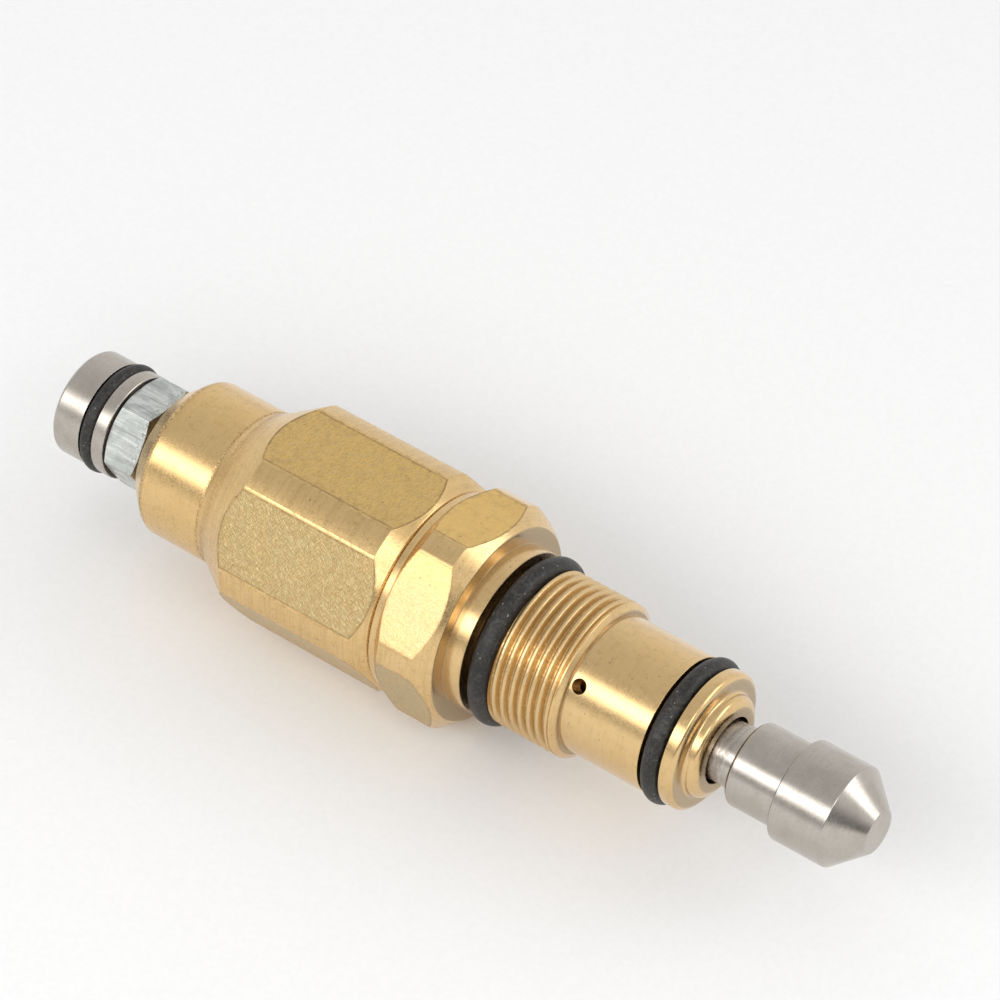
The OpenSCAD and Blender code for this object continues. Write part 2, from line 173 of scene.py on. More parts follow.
# cones at both ends of the large hexagons, each as two (x, radius) places
FLARE_CONE = ((FLARE_START + 0.8, HOUSING_R + 0.16), (FLARE_END, HOUSING_CORNER_R))
HOUSING_CONE = ((JOINT - HOUSING_FRONT_CHAMFER, HOUSING_CORNER_R),
                (JOINT - 0.12, JOINT_RIM_R + 0.12))
BODY_REAR_CONE = ((RING_END, FLAT_R - 0.1), (RING_END + BODY_REAR_CHAMFER, BODY_CORNER_R))
BODY_FRONT_CONE = ((SHOULDER - BODY_FRONT_CHAMFER, BODY_CORNER_R), (SHOULDER, SHOULDER_R))

# ---------------------------------------------------------------- shapes


def new_object(name, data):
    """A new object in the scene, at the origin."""
    made = bpy.data.objects.new(name, data)
    bpy.context.scene.collection.objects.link(made)
    return made


def to_mesh(bm, mesh):
    """Writes a bmesh into a mesh and frees it."""
    bm.to_mesh(mesh)
    bm.free()
    return mesh


def softened(outline, steps=5):
    """Outline points (x, radius) with each (x, radius, size) corner rounded to that size."""
    points = []
    count = len(outline)
    for i, corner in enumerate(outline):
        here = Vector(corner[:2])
        size = corner[2] if len(corner) > 2 else 0.0
        if size == 0:
            points.append(here)
            continue
        before = Vector(outline[i - 1][:2]) - here
        after = Vector(outline[(i + 1) % count][:2]) - here
        first = here + before.normalized() * min(size, before.length * ROUNDED_SHARE)
        last = here + after.normalized() * min(size, after.length * ROUNDED_SHARE)
        for k in range(steps + 1):
            t = k / steps
            points.append(first * (1 - t) ** 2 + here * 2 * t * (1 - t) + last * t ** 2)
    return points


def spun(outline, closed=True, steps=180):
    """A bmesh turned about the axis from an outline of (x, radius) points."""
    bm = bmesh.new()
    ring = [bm.verts.new((p[0], 0, p[1])) for p in softened(outline)]
    pairs = list(zip(ring, ring[1:]))
    if closed:
        pairs.append((ring[-1], ring[0]))
    edges = [bm.edges.new(pair) for pair in pairs]
    bmesh.ops.spin(bm, geom=ring + edges, cent=(0, 0, 0), axis=(1, 0, 0), angle=FULL_TURN,
                   steps=steps, use_merge=True, use_duplicate=False)
    bmesh.ops.remove_doubles(bm, verts=bm.verts, dist=WELD)
    bmesh.ops.recalc_face_normals(bm, faces=bm.faces)
    return bm


def slice_off(bm, angle, distance, slot):
    """Cuts away what lies past a plane parallel to the axis and paints the new faces."""
    normal = Vector((0, -math.sin(angle), math.cos(angle)))
    geom = bm.verts[:] + bm.edges[:] + bm.faces[:]
    cut = bmesh.ops.bisect_plane(bm, geom=geom, dist=ON_PLANE, plane_co=normal * distance,
                                 plane_no=normal, clear_outer=True)
    rim = [e for e in cut["geom_cut"] if isinstance(e, bmesh.types.BMEdge)]
    for face in bmesh.ops.edgeloop_fill(bm, edges=rim)["faces"]:
        face.material_index = slot


def mill_flats(bm, flat_r, corner_r, roll, easing=EASING):
    """Cuts six flats, rolled from +Z towards -Y, each with its long edges eased."""
    half_width = math.sqrt(corner_r ** 2 - flat_r ** 2)
    for k in range(6):
        middle = math.radians(roll + 60 * k)
        slice_off(bm, middle, flat_r, MILLED)
        for side in (-1, 1):
            edge = half_width
            for tilt, depth in easing:
                tilt = math.radians(tilt)
                distance = flat_r * math.cos(tilt) + edge * math.sin(tilt) - depth
                slice_off(bm, middle + side * tilt, distance, EDGE)
                edge -= depth / math.sin(tilt)
    bmesh.ops.recalc_face_normals(bm, faces=bm.faces)


def paint(bm, slot, low, high):
    """Gives the turned faces between two stations another material slot."""
    for face in bm.faces:
        if face.material_index == TURNED and low < face.calc_center_median().x < high:
            face.material_index = slot


def screw_thread(start, end, crest_r, depth, pitch, steps=96, samples=14):
    """A bmesh of a right-handed screw thread, cut square at both ends and capped."""
    root_share, flank_share = 0.05, 0.8
    bm = bmesh.new()
    ring = []
    for i in range(samples + 1):
        t = i / samples
        rise = min(max((1 - abs(2 * t - 1) - root_share) / flank_share, 0), 1)
        rise = rise * rise * (3 - 2 * rise)
        ring.append(bm.verts.new((start - pitch + t * pitch, 0, crest_r - depth * (1 - rise))))
    edges = [bm.edges.new(pair) for pair in zip(ring, ring[1:])]
    turns = math.ceil((end - start) / pitch) + 2
    bmesh.ops.spin(bm, geom=ring + edges, cent=(0, 0, 0), axis=(1, 0, 0),
                   dvec=(pitch / steps, 0, 0), angle=FULL_TURN * turns, steps=steps * turns,
                   use_merge=False, use_duplicate=False)
    bmesh.ops.remove_doubles(bm, verts=bm.verts, dist=THREAD_WELD)
    for place, way in ((start, -1), (end, 1)):
        geom = bm.verts[:] + bm.edges[:] + bm.faces[:]
        bmesh.ops.bisect_plane(bm, geom=geom, dist=ON_PLANE, plane_co=(place, 0, 0),
                               plane_no=(way, 0, 0), clear_outer=True)
        rim = [e for e in bm.edges if e.is_boundary
               and all(abs(v.co.x - place) < RIM_REACH for v in e.verts)]
        bmesh.ops.edgeloop_fill(bm, edges=rim)
    bmesh.ops.recalc_face_normals(bm, faces=bm.faces)
    return bm


def torus(middle, section_r, ring_r, steps=160, sides=28):
    """A bmesh of an O-ring."""
    bm = bmesh.new()
    made = bmesh.ops.create_circle(bm, segments=sides, radius=section_r)
    for v in made["verts"]:
        v.co = Vector((middle + v.co.x, 0, ring_r + v.co.y))
    bmesh.ops.spin(bm, geom=bm.verts[:] + bm.edges[:], cent=(0, 0, 0), axis=(1, 0, 0),
                   angle=FULL_TURN, steps=steps, use_merge=True, use_duplicate=False)
    bmesh.ops.remove_doubles(bm, verts=bm.verts, dist=WELD)
    bmesh.ops.recalc_face_normals(bm, faces=bm.faces)
    return bm


def crease(mesh, angle):
    """Sharp edges past an angle in degrees, and all round the milled faces."""
    mesh.set_sharp_from_angle(angle=math.radians(angle))
    bm = bmesh.new()
    bm.from_mesh(mesh)
    for edge in bm.edges:
        slots = {face.material_index for face in edge.link_faces}
        if len(slots) > 1 and slots & {MILLED, EDGE}:
            edge.smooth = False
    to_mesh(bm, mesh)


def weigh_normals(piece):
    """Shades a piece after its large faces and keeps the creases."""
    weighted = piece.modifiers.new("edges", "WEIGHTED_NORMAL")
    weighted.keep_sharp = True
    weighted.weight = 60


def as_piece(name, bm, finishes, body, node, angle=CREASE):
    """Makes a bmesh in millimetres a finished piece that rides on a body."""
    bmesh.ops.scale(bm, vec=(MM, MM, MM), verts=bm.verts)
    mesh = to_mesh(bm, bpy.data.meshes.new(name))
    piece = new_object(name, mesh)
    for finish in finishes:
        mesh.materials.append(finish)
    mesh.shade_smooth()
    crease(mesh, angle)
    weigh_normals(piece)
    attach(piece, body)
    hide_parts(node)
    return piece


# ---------------------------------------------------------------- finishes


class Finish:
    """One procedural material, with short calls for the nodes it is made of.

    Rates are counted per millimetre of the piece.
    """

    def __init__(self, name, metallic, roughness, **sockets):
        self.material = bpy.data.materials.new(name)
        self.material.use_nodes = True
        self.nodes = self.material.node_tree.nodes
        self.links = self.material.node_tree.links
        self.shader = self.nodes["Principled BSDF"]
        self.shader.inputs["Metallic"].default_value = metallic
        self.shader.inputs["Roughness"].default_value = roughness
        for socket, value in sockets.items():
            self.shader.inputs[socket.replace("_", " ")].default_value = value
        self.place = self.nodes.new("ShaderNodeTexCoord").outputs["Object"]
        split = self.nodes.new("ShaderNodeSeparateXYZ")
        self.links.new(self.place, split.inputs[0])
        self.x, self.y, self.z = split.outputs
        square = self.math("ADD", self.math("MULTIPLY", self.y, self.y),
                           self.math("MULTIPLY", self.z, self.z))
        self.radius = self.math("MAXIMUM", self.math("SQRT", square), 1e-5)

    def plug(self, value, socket):
        """Links an output to a socket, or sets the socket to a plain value."""
        if hasattr(value, "is_output"):
            self.links.new(value, socket)
        else:
            socket.default_value = value

    def math(self, operation, a, b=0.0):
        node = self.nodes.new("ShaderNodeMath")
        node.operation = operation
        self.plug(a, node.inputs[0])
        self.plug(b, node.inputs[1])
        return node.outputs[0]

    def stretched(self, x, y, z, lean=None):
        """Object coordinates in millimetres, leant over if asked, times a rate on each axis."""
        vector = self.place
        if lean:
            turn = self.nodes.new("ShaderNodeMapping")
            turn.inputs["Rotation"].default_value = [math.radians(a) for a in lean]
            self.links.new(vector, turn.inputs["Vector"])
            vector = turn.outputs[0]
        node = self.nodes.new("ShaderNodeMapping")
        self.links.new(vector, node.inputs["Vector"])
        node.inputs["Scale"].default_value = (x / MM, y / MM, z / MM)
        return node.outputs[0]

    def around(self, rate, turn):
        """Coordinates of a turned surface: quick along it and outward, slow round it."""
        side = self.math("MULTIPLY", self.math("DIVIDE", self.y, self.radius), turn)
        up = self.math("MULTIPLY", self.math("DIVIDE", self.z, self.radius), turn)
        out = self.math("ADD", side, self.math("MULTIPLY", self.radius, rate / MM))
        return self.join(self.math("MULTIPLY", self.x, rate / MM), out, up)

    def join(self, x, y, z):
        node = self.nodes.new("ShaderNodeCombineXYZ")
        for value, socket in zip((x, y, z), node.inputs):
            self.plug(value, socket)
        return node.outputs[0]

    def on_flat(self, roll):
        """Which of six flats is nearest, the offset across it and the height of its plane."""
        angle = self.math("ARCTAN2", self.math("MULTIPLY", self.y, -1.0), self.z)
        turn = self.math("ADD", angle, math.radians(30 - roll))
        part = self.math("FLOORED_MODULO", turn, math.radians(60))
        which = self.math("SUBTRACT", turn, part)
        part = self.math("SUBTRACT", part, math.radians(30))
        return (which, self.math("MULTIPLY", self.radius, self.math("SINE", part)),
                self.math("MULTIPLY", self.radius, self.math("COSINE", part)))

    def hatch(self, which, across, lean, slow=1.4, fast=9.0):
        """Noise in lines that run at an angle in degrees to the axis over each flat."""
        cos, sin = math.cos(math.radians(lean)) / MM, math.sin(math.radians(lean)) / MM
        along = self.math("ADD", self.math("MULTIPLY", self.x, cos * slow),
                          self.math("MULTIPLY", across, sin * slow))
        aside = self.math("SUBTRACT", self.math("MULTIPLY", across, cos * fast),
                          self.math("MULTIPLY", self.x, sin * fast))
        return self.noise(self.join(along, aside, self.math("MULTIPLY", which, 5.0)), detail=2)

    def inside(self, corner_r, cones):
        """How far a place on a flat lies inside the turned outline it is cut from."""
        outline = corner_r * MM
        for (x0, r0), (x1, r1) in cones:
            slope = (r1 - r0) / (x1 - x0)
            cone = self.math("ADD", self.math("MULTIPLY", self.x, slope),
                             (r0 - slope * x0) * MM)
            outline = self.math("MINIMUM", cone, outline)
        return self.math("SUBTRACT", outline, self.radius)

    def noise(self, vector, detail=3.0, rough=0.55):
        node = self.nodes.new("ShaderNodeTexNoise")
        self.links.new(vector, node.inputs["Vector"])
        node.inputs["Scale"].default_value = 1.0
        node.inputs["Detail"].default_value = detail
        node.inputs["Roughness"].default_value = rough
        return node.outputs["Fac"]

    def dots(self, vector, size, share=1.0):
        """Scattered round spots in a share of the cells: 1 inside a spot, 0 outside."""
        node = self.nodes.new("ShaderNodeTexVoronoi")
        self.links.new(vector, node.inputs["Vector"])
        node.inputs["Scale"].default_value = 1.0
        pick = self.nodes.new("ShaderNodeSeparateColor")
        self.links.new(node.outputs["Color"], pick.inputs[0])
        chosen = self.math("LESS_THAN", pick.outputs[0], share)
        return self.math("MULTIPLY", self.fit(node.outputs["Distance"], size, size * 0.5), chosen)

    def fit(self, value, low, high, start=0.0, end=1.0):
        """Eases a value from one range to another."""
        node = self.nodes.new("ShaderNodeMapRange")
        node.interpolation_type = "SMOOTHSTEP"
        self.links.new(value, node.inputs["Value"])
        node.inputs["From Min"].default_value = low
        node.inputs["From Max"].default_value = high
        node.inputs["To Min"].default_value = start
        node.inputs["To Max"].default_value = end
        return node.outputs["Result"]

    def near(self, station, spread):
        """1 at a station along the valve, easing to 0 at a spread from it."""
        away = self.math("ABSOLUTE", self.math("SUBTRACT", self.x, station * MM))
        return self.fit(away, spread * MM, 0.0)

    def times(self, *values):
        """The product of several values."""
        result = values[0]
        for value in values[1:]:
            result = self.math("MULTIPLY", result, value)
        return result

    def blend(self, share, first, second):
        node = self.nodes.new("ShaderNodeMix")
        node.data_type = "RGBA"
        self.plug(share, node.inputs[0])
        for value, socket in ((first, node.inputs[6]), (second, node.inputs[7])):
            self.plug((*value, 1) if isinstance(value, tuple) else value, socket)
        return node.outputs[2]

    def bump(self, height, strength, depth, under=None):
        """Surface relief of a depth in millimetres, laid over another if given."""
        node = self.nodes.new("ShaderNodeBump")
        node.inputs["Strength"].default_value = strength
        node.inputs["Distance"].default_value = depth * MM
        self.links.new(height, node.inputs["Height"])
        if under:
            self.links.new(under, node.inputs["Normal"])
        return node.outputs[0]

    def done(self, colour, roughness, normal):
        self.plug(colour, self.shader.inputs["Base Color"])
        self.plug(roughness, self.shader.inputs["Roughness"])
        self.plug(normal, self.shader.inputs["Normal"])
        return self.material


BRASS = (0.774, 0.535, 0.245)
BRASS_PALE = (0.545, 0.425, 0.215)
BRASS_SHINE = (0.70, 0.555, 0.29)
BRASS_FACE_SHADE = (0.49, 0.355, 0.195)
BRASS_WARM = (0.71, 0.455, 0.18)
BRASS_DULL = (0.50, 0.34, 0.148)
BRASS_OLIVE = (0.83, 0.55, 0.19)
BRASS_STAIN = (0.28, 0.165, 0.065)
BRASS_BURNT_AND_SHADE = (0.40, 0.25, 0.11)
BRASS_RIM = (0.36, 0.235, 0.105)
THREAD = (0.73, 0.53, 0.275)
STEEL = (0.52, 0.48, 0.43)
STEEL_DARK = (0.344, 0.317, 0.285)
STEEL_WARM = (0.43, 0.385, 0.325)
STEEL_GRIME = (0.11, 0.10, 0.09)
NECK_GRIME = (0.22, 0.19, 0.16)
PAINTED_SHADE = (0.06, 0.052, 0.045)
PAINTED_SHADE_PALE = (0.13, 0.115, 0.10)
BRONZE = (0.50, 0.30, 0.14)
SPRING_STEEL = (0.22, 0.22, 0.23)
WASHER_STEEL = (0.45, 0.45, 0.46)
ZINC = (0.495, 0.516, 0.49)
ZINC_PALE = (0.69, 0.71, 0.68)
ZINC_DARK = (0.26, 0.27, 0.25)
ZINC_GAP_SHADE = (0.40, 0.30, 0.17)
ZINC_GRIME = (0.12, 0.115, 0.10)
RUBBER = (0.013, 0.012, 0.011)
RUBBER_WORN = (0.060, 0.054, 0.047)
DUST = (0.34, 0.30, 0.25)
PTFE = (0.85, 0.85, 0.82)
PTFE_DARK = (0.72, 0.71, 0.66)
PAPER = (0.90, 0.90, 0.90)
PAPER_PALE = (0.92, 0.92, 0.92)

# painted shade: a flat turns to a duller, darker brass, and its hatch and relief grow stronger,
# from the first to the second of these places across the valve, on the side towards the camera
# and front lamps
SHADED_SIDE_FROM = -3 * MM
SHADED_SIDE_TO = -8 * MM


def turned_brass(name, rough=0.2, marks=0.3, stations=(), faces=(), roll=None, film=0.15):
    """Brass off the lathe: fine rings, faint stains, scratches, pits, burnt lines and painted
    shade.

    Darker lines run round it at the stations and, where a roll is given, along its flats; some
    lines round it are burnt lines, some painted shade. Faces square to the axis are painted
    darker, as painted shade, and a film of clear oil keeps its highlights pale.
    """
    f = Finish(name, 1.0, rough, Anisotropic=0.15, Coat_Weight=film, Coat_Roughness=rough)
    fine = f.noise(f.around(8.0, 0.4), detail=3)
    coarse = f.noise(f.around(4.0, 1.6), detail=4)
    cloud = f.noise(f.stretched(0.35, 0.35, 0.35), detail=4)
    mottle = f.noise(f.stretched(1.4, 1.4, 1.4), detail=4, rough=0.65)
    grain = f.noise(f.stretched(5, 5, 5), detail=3)
    scratch = f.noise(f.stretched(1.0, 8, 8, lean=(30, 25, 55)), detail=2)
    pits = f.dots(f.stretched(1.5, 1.5, 1.5), 0.14, 0.35)
    specks = f.times(f.dots(f.stretched(3.2, 3.2, 3.2), 0.24, 0.5), f.fit(mottle, 0.48, 0.56))
    colour = f.blend(f.fit(cloud, 0.42, 0.68, 0.0, 0.3), BRASS, BRASS_WARM)
    colour = f.blend(f.fit(coarse, 0.42, 0.66, 0.0, marks), colour, BRASS_DULL)
    colour = f.blend(f.fit(mottle, 0.5, 0.66, 0.0, 0.22), colour, BRASS_DULL)
    colour = f.blend(f.fit(scratch, 0.66, 0.72, 0.0, 0.45), colour, BRASS_DULL)
    colour = f.blend(f.times(pits, 0.75), colour, BRASS_STAIN)
    colour = f.blend(f.times(specks, 0.5), colour, BRASS_STAIN)
    for face in faces:
        # painted shade: the faces square to the axis are blended towards a darker, duller brass
        colour = f.blend(f.fit(f.near(face, 0.12), 0.0, 0.7), colour, BRASS_FACE_SHADE)
    relief = f.math("ADD", f.times(fine, 0.4), f.times(coarse, 1.2 * marks))
    relief = f.math("ADD", relief, f.times(mottle, 1.3))
    normal = f.bump(relief, 0.16, 0.02)
    lines = [f.times(f.near(station, spread), f.fit(grain, 0.42, 0.55), amount)
             for station, spread, amount in stations]
    if roll is not None:
        height = f.on_flat(roll)[2]
        beside = f.fit(height, (FLAT_R - 0.09) * MM, (FLAT_R - 0.01) * MM)
        lines.append(f.times(beside, f.fit(mottle, 0.3, 0.66), 0.55))
    for line in lines:
        colour = f.blend(line, colour, BRASS_BURNT_AND_SHADE)
        normal = f.bump(line, 0.5, 0.03, normal)
    roughness = f.fit(grain, 0.3, 0.7, rough - 0.03, rough + 0.07)
    return f.done(colour, roughness, f.bump(pits, -0.3, 0.03, normal))


def flat_brass(name, roll, corner_r, cones, relief=1.0, rough=0.33):
    """Skin of the wrench flats: grainy, cross-hatched by its relief, darker at the rim, painted
    shade towards the camera.
    """
    f = Finish(name, 1.0, rough)
    which, across = f.on_flat(roll)[:2]
    left = f.hatch(which, across, 35)
    right = f.hatch(which, across, -62)
    steep = f.hatch(which, across, 80, slow=1.1)
    drag = f.hatch(which, across, 5, slow=0.3, fast=4.0)
    grain = f.noise(f.stretched(6, 6, 6), detail=3, rough=0.7)
    mottle = f.noise(f.stretched(1.1, 1.1, 1.1), detail=4, rough=0.65)
    cloud = f.noise(f.stretched(0.3, 0.3, 0.3), detail=4)
    nicks = f.dots(f.stretched(0.9, 1.6, 1.6), 0.13, 0.14)
    # painted shade: the flats on the side towards the camera get the duller, darker brass
    wear_and_shade = f.fit(f.y, SHADED_SIDE_FROM, SHADED_SIDE_TO)
    strength = f.fit(f.y, SHADED_SIDE_FROM, SHADED_SIDE_TO, 0.65 * relief, relief)
    colour = f.blend(wear_and_shade, BRASS_OLIVE, BRASS_PALE)
    colour = f.blend(f.fit(cloud, 0.5, 0.75, 0.0, 0.5), colour, BRASS_WARM)
    colour = f.blend(f.fit(mottle, 0.48, 0.66, 0.0, 0.3), colour, BRASS_DULL)
    colour = f.blend(f.times(f.fit(grain, 0.46, 0.6), strength, 0.62), colour, BRASS_DULL)
    colour = f.blend(f.times(f.fit(left, 0.53, 0.6), strength, 0.85), colour, BRASS_SHINE)
    colour = f.blend(f.times(f.fit(right, 0.53, 0.6), strength, 0.85), colour, BRASS_DULL)
    colour = f.blend(f.times(f.fit(steep, 0.56, 0.63), strength, 0.7), colour, BRASS_DULL)
    colour = f.blend(f.times(nicks, 0.7), colour, BRASS_STAIN)
    inside = f.inside(corner_r, cones)
    rubbed = f.times(f.fit(inside, 0.6 * MM, 0.1 * MM), f.fit(mottle, 0.52, 0.62), 0.4)
    colour = f.blend(rubbed, colour, BRASS_DULL)
    rim = f.fit(inside, 0.17 * MM, 0.08 * MM)
    colour = f.blend(f.times(rim, f.fit(mottle, 0.25, 0.55), 0.8), colour, BRASS_RIM)
    height = f.math("ADD", f.times(f.math("ADD", grain, drag), 0.5),
                    f.math("ADD", f.math("ADD", left, right), steep))
    roughness = f.fit(grain, 0.3, 0.7, rough - 0.06, rough + 0.06)
    return f.done(colour, roughness, f.bump(f.times(height, strength), 0.8, 0.05))


def edge_brass():
    """The thin eased edges of the wrench flats, darkened unevenly."""
    f = Finish("bruised brass edge", 1.0, 0.3)
    patchy = f.noise(f.stretched(1.6, 1.6, 1.6), detail=4, rough=0.7)
    colour = f.blend(f.fit(patchy, 0.4, 0.7, 0.0, 0.6), BRASS, BRASS_BURNT_AND_SHADE)
    return f.done(colour, f.fit(patchy, 0.3, 0.7, 0.24, 0.4), f.bump(patchy, 0.3, 0.03))


def shaded_steel_face():
    """Painted shade: a near-black steel for the face that lies against the nut."""
    f = Finish("steel with painted shade", 0.6, 0.55)
    grain = f.noise(f.stretched(4, 4, 4), detail=3)
    colour = f.blend(f.fit(grain, 0.35, 0.7), PAINTED_SHADE, PAINTED_SHADE_PALE)
    return f.done(colour, f.fit(grain, 0.3, 0.7, 0.45, 0.65), f.bump(grain, 0.4, 0.03))


def cut_brass():
    """Freshly cut thread: bright crests over slightly torn flanks."""
    f = Finish("cut brass thread", 1.0, 0.27, Anisotropic=0.2)
    rings = f.noise(f.around(5.0, 0.8), detail=3)
    tear = f.noise(f.stretched(1.0, 2.5, 2.5), detail=4)
    nicks = f.dots(f.stretched(1.8, 1.8, 1.8), 0.16, 0.3)
    colour = f.blend(f.fit(tear, 0.45, 0.72, 0.0, 0.5), THREAD, BRASS)
    colour = f.blend(f.fit(rings, 0.5, 0.75, 0.0, 0.35), colour, BRASS_DULL)
    # painted shade: the thread's roots are blended towards a dark brass
    root_shade = f.fit(f.radius, (THREAD_R - 0.22) * MM, (THREAD_R - THREAD_DEPTH) * MM)
    colour = f.blend(f.times(root_shade, f.fit(tear, 0.3, 0.55, 0.12, 0.6)), colour, BRASS_BURNT_AND_SHADE)
    colour = f.blend(f.times(nicks, 0.6), colour, BRASS_STAIN)
    normal = f.bump(f.math("ADD", rings, f.times(tear, 2.0)), 0.4, 0.05)
    return f.done(colour, f.fit(tear, 0.3, 0.7, 0.27, 0.4), f.bump(nicks, -0.4, 0.04, normal))


def turned_steel(name="turned stainless steel", rough=0.21, stations=()):
    """Fine turned stainless steel: faint rings, a warm cast, dark lines at the stations."""
    f = Finish(name, 1.0, rough, Anisotropic=0.2)
    fine = f.noise(f.around(9.0, 0.3), detail=3)
    cloud = f.noise(f.stretched(0.5, 0.5, 0.5), detail=4)
    grain = f.noise(f.stretched(5, 5, 5), detail=3)
    pits = f.dots(f.stretched(1.1, 1.1, 1.1), 0.11, 0.25)
    colour = f.blend(f.fit(fine, 0.45, 0.7, 0.0, 0.18), STEEL, STEEL_DARK)
    colour = f.blend(f.fit(cloud, 0.42, 0.66, 0.0, 0.5), colour, STEEL_WARM)
    colour = f.blend(f.fit(grain, 0.5, 0.66, 0.0, 0.22), colour, STEEL_DARK)
    colour = f.blend(f.times(pits, 0.5), colour, STEEL_DARK)
    for station, spread in stations:
        colour = f.blend(f.times(f.near(station, spread), 0.85), colour, STEEL_GRIME)
    relief = f.math("ADD", fine, f.times(grain, 0.35))
    roughness = f.fit(grain, 0.3, 0.7, rough - 0.03, rough + 0.06)
    return f.done(colour, roughness, f.bump(relief, 0.14, 0.015))


def tooled_steel():
    """The rod's neck: coarser tool marks with grime in them."""
    f = Finish("tool-marked stainless steel", 1.0, 0.28)
    marks = f.noise(f.around(3.0, 1.6), detail=4)
    grain = f.noise(f.stretched(4, 4, 4), detail=3)
    colour = f.blend(f.fit(marks, 0.42, 0.66, 0.0, 0.7), STEEL, STEEL_DARK)
    colour = f.blend(f.fit(grain, 0.55, 0.7, 0.0, 0.5), colour, NECK_GRIME)
    return f.done(colour, f.fit(grain, 0.3, 0.7, 0.22, 0.4), f.bump(marks, 0.4, 0.04))


def zinc_plate():
    """Zinc plate on a cold-drawn hexagon: streaked lengthwise, grimy next to the housing, painted
    brown shade at its front end.
    """
    f = Finish("zinc plate", 1.0, 0.3)
    drag = f.noise(f.stretched(0.1, 2.6, 2.6), detail=3)
    cloud = f.noise(f.stretched(0.5, 0.8, 0.8), detail=4)
    grain = f.noise(f.stretched(4, 4, 4), detail=3)
    colour = f.blend(f.fit(cloud, 0.42, 0.62), ZINC_PALE, ZINC)
    colour = f.blend(f.fit(drag, 0.57, 0.65, 0.0, 0.45), colour, ZINC_DARK)
    # painted shade: the nut's front end next to the housing is blended towards brown
    painted_gap_shade = f.fit(f.near(NUT_FRONT + 0.5, 0.9), 0.2, 0.6, 0.0, 0.8)
    colour = f.blend(painted_gap_shade, colour, ZINC_GAP_SHADE)
    grime_and_shade = f.times(f.near(NUT_FRONT, 1.6), f.fit(grain, 0.53, 0.6), 0.5)
    colour = f.blend(grime_and_shade, colour, ZINC_GRIME)
    return f.done(colour, f.fit(cloud, 0.3, 0.7, 0.26, 0.42), f.bump(drag, 0.5, 0.06))


def nitrile():
    """Matte black rubber with a faint moulded texture, specks and short fibres of dust."""
    f = Finish("nitrile rubber", 0.0, 0.5, Specular_IOR_Level=0.4)
    skin = f.noise(f.stretched(3, 3, 3), detail=4, rough=0.65)
    specks = f.dots(f.stretched(2.2, 2.2, 2.2), 0.2, 0.3)
    fibres = f.fit(f.noise(f.stretched(1, 5, 5, lean=(20, 50, 35)), detail=2), 0.68, 0.74)
    film = f.noise(f.stretched(0.7, 0.7, 0.7), detail=4)
    wear_and_shade = f.times(f.fit(skin, 0.38, 0.68), f.fit(film, 0.35, 0.62, 0.3, 1.0))
    colour = f.blend(wear_and_shade, RUBBER, RUBBER_WORN)
    colour = f.blend(f.times(specks, 0.8), colour, DUST)
    colour = f.blend(f.times(fibres, 0.5), colour, DUST)
    return f.done(colour, f.fit(skin, 0.3, 0.7, 0.36, 0.58), f.bump(skin, 0.3, 0.03))


def plain_metal(name, colour, rough):
    """A lightly mottled metal for the parts inside."""
    f = Finish(name, 1.0, rough)
    cloud = f.noise(f.stretched(0.8, 0.8, 0.8), detail=3)
    dark = tuple(0.75 * c for c in colour)
    shade = f.blend(f.fit(cloud, 0.35, 0.7, 0.0, 0.6), colour, dark)
    return f.done(shade, f.fit(cloud, 0.3, 0.7, rough - 0.04, rough + 0.08),
                  f.bump(cloud, 0.15, 0.02))


def fluoropolymer():
    """Waxy white plastic of the backup rings."""
    f = Finish("white fluoropolymer", 0.0, 0.4)
    cloud = f.noise(f.stretched(1.2, 1.2, 1.2), detail=3)
    colour = f.blend(f.fit(cloud, 0.4, 0.7, 0.0, 0.6), PTFE, PTFE_DARK)
    return f.done(colour, f.fit(cloud, 0.3, 0.7, 0.35, 0.5), f.bump(cloud, 0.1, 0.02))


REAR_EDGE = HOUSING_REAR + REAR_CHAMFER
LOOKS = {
    "housing": turned_brass("turned housing brass", rough=0.23, marks=0.12, stations=(
        # the line at FLARE_START is painted shade in the crease at the flare's foot; the other
        # two are burnt specks
        (REAR_EDGE, 0.5, 0.9), (HOUSING_REAR + 0.2, 0.5, 0.3), (FLARE_START, 0.22, 0.9))),
    "bands": turned_brass("coarse turned brass", rough=0.26, marks=0.35, roll=HOUSING_ROLL,
                          # the line at FLARE_START and the broad band over the flare are painted
                          # shade; the line at JOINT is a dark joint
                          stations=((FLARE_START, 0.3, 0.5), (FLARE_START + 1.2, 1.5, 0.3),
                                    (JOINT, 0.12, 0.9))),
    "body": turned_brass("turned body brass", marks=0.12, film=0.6, stations=(
        (COLLAR_FRONT, 0.2, 0.4), (NOSE_START, 0.2, 0.4), (BOSS_FRONT, 0.1, 0.5)),
        faces=(SHOULDER, COLLAR_FRONT, NOSE_START, NOSE_END, BOSS_FRONT)),
    "body bands": turned_brass("turned body hexagon brass", rough=0.24, marks=0.25, film=0.5,
                               roll=BODY_ROLL, stations=((JOINT, 0.15, 0.8),)),
    "bar": flat_brass("drawn brass bar", HOUSING_ROLL, HOUSING_CORNER_R,
                      (FLARE_CONE, HOUSING_CONE)),
    "milled": flat_brass("milled brass flat", BODY_ROLL, BODY_CORNER_R,
                         (BODY_REAR_CONE, BODY_FRONT_CONE), relief=0.3, rough=0.28),
    "edge": edge_brass(),
    "thread": cut_brass(),
    "steel": turned_steel(stations=((POPPET_REAR, 0.35), (GUIDE_END, 0.16))),
    "piston": turned_steel("ground stainless steel", rough=0.27),
    "grime_and_shade": shaded_steel_face(),
    "neck": tooled_steel(),
    "zinc": zinc_plate(),
    "rubber": nitrile(),
    "bronze": plain_metal("bearing bronze", BRONZE, 0.35),
    "spring": plain_metal("oiled spring steel", SPRING_STEEL, 0.3),
    "washer": plain_metal("hardened washer", WASHER_STEEL, 0.32),
    "plastic": fluoropolymer(),
}

# ---------------------------------------------------------------- pieces


